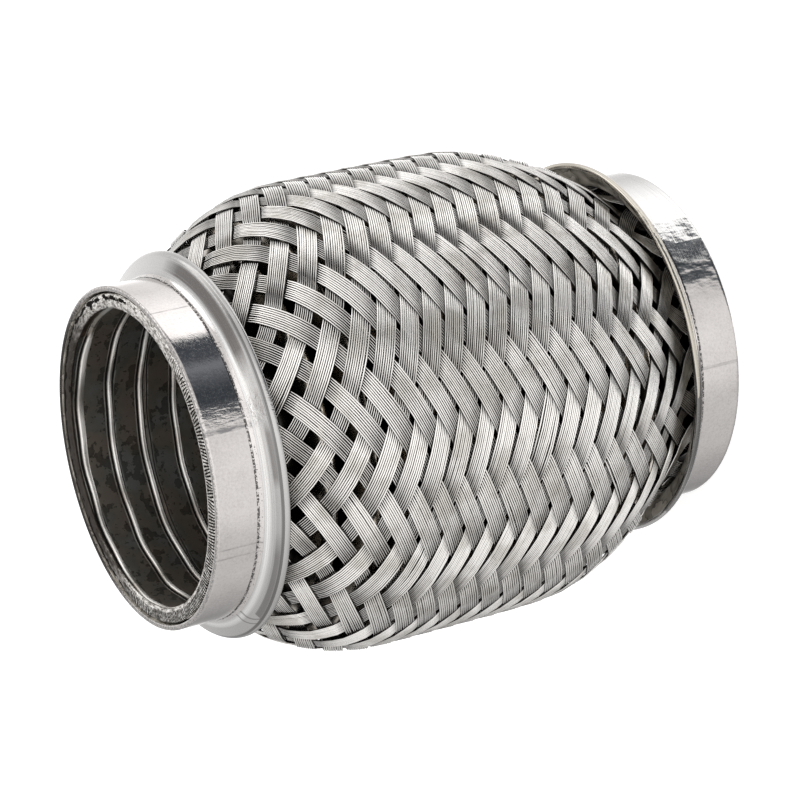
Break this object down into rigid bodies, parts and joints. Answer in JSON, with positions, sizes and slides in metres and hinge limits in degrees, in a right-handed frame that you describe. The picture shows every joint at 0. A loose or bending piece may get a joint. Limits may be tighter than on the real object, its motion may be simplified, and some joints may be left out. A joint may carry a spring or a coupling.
{
  "type": "exhaust flex pipe",
  "caption": "Short exhaust flex pipe: pressed steel end collars, barrel-shaped twill braid of flat wire ribbons, folded bellows and a strip-wound inner liner.",
  "frame": {"origin": "centre of the far end face, on the pipe's axis, where the part stands", "axes": "+Z along the pipe's axis, from the far end to the near, open end; +X and +Y across the bore"},
  "size_m": [0.08, 0.08, 0.1],
  "materials": {
    "collar_steel": "polished pressed stainless sheet, satin below the highlight",
    "braid_wire": "drawn stainless wire laid side by side in flat ribbons",
    "bellows_steel": "thin folded stainless sheet, faintly heat-tinted",
    "liner_steel": "dark mottled stainless strip with bright rounded edges"
  },
  "bodies": {
    "root": {"end_collar_near": "collar_steel", "end_collar_far": "collar_steel", "bellows": "bellows_steel", "interlock_liner": "liner_steel", "right_hand_ribbon_01": "braid_wire", "right_hand_ribbon_02": "braid_wire", "right_hand_ribbon_03": "braid_wire", "right_hand_ribbon_04": "braid_wire", "right_hand_ribbon_05": "braid_wire", "right_hand_ribbon_06": "braid_wire", "right_hand_ribbon_07": "braid_wire", "right_hand_ribbon_08": "braid_wire", "right_hand_ribbon_09": "braid_wire", "right_hand_ribbon_10": "braid_wire", "right_hand_ribbon_11": "braid_wire", "right_hand_ribbon_12": "braid_wire", "right_hand_ribbon_13": "braid_wire", "right_hand_ribbon_14": "braid_wire", "right_hand_ribbon_15": "braid_wire", "right_hand_ribbon_16": "braid_wire", "right_hand_ribbon_17": "braid_wire", "right_hand_ribbon_18": "braid_wire", "right_hand_ribbon_19": "braid_wire", "right_hand_ribbon_20": "braid_wire", "right_hand_ribbon_21": "braid_wire", "right_hand_ribbon_22": "braid_wire", "right_hand_ribbon_23": "braid_wire", "right_hand_ribbon_24": "braid_wire", "left_hand_ribbon_01": "braid_wire", "left_hand_ribbon_02": "braid_wire", "left_hand_ribbon_03": "braid_wire", "left_hand_ribbon_04": "braid_wire", "left_hand_ribbon_05": "braid_wire", "left_hand_ribbon_06": "braid_wire", "left_hand_ribbon_07": "braid_wire", "left_hand_ribbon_08": "braid_wire", "left_hand_ribbon_09": "braid_wire", "left_hand_ribbon_10": "braid_wire", "left_hand_ribbon_11": "braid_wire", "left_hand_ribbon_12": "braid_wire", "left_hand_ribbon_13": "braid_wire", "left_hand_ribbon_14": "braid_wire", "left_hand_ribbon_15": "braid_wire", "left_hand_ribbon_16": "braid_wire", "left_hand_ribbon_17": "braid_wire", "left_hand_ribbon_18": "braid_wire", "left_hand_ribbon_19": "braid_wire", "left_hand_ribbon_20": "braid_wire", "left_hand_ribbon_21": "braid_wire", "left_hand_ribbon_22": "braid_wire", "left_hand_ribbon_23": "braid_wire", "left_hand_ribbon_24": "braid_wire"}
  },
  "joints": []
}
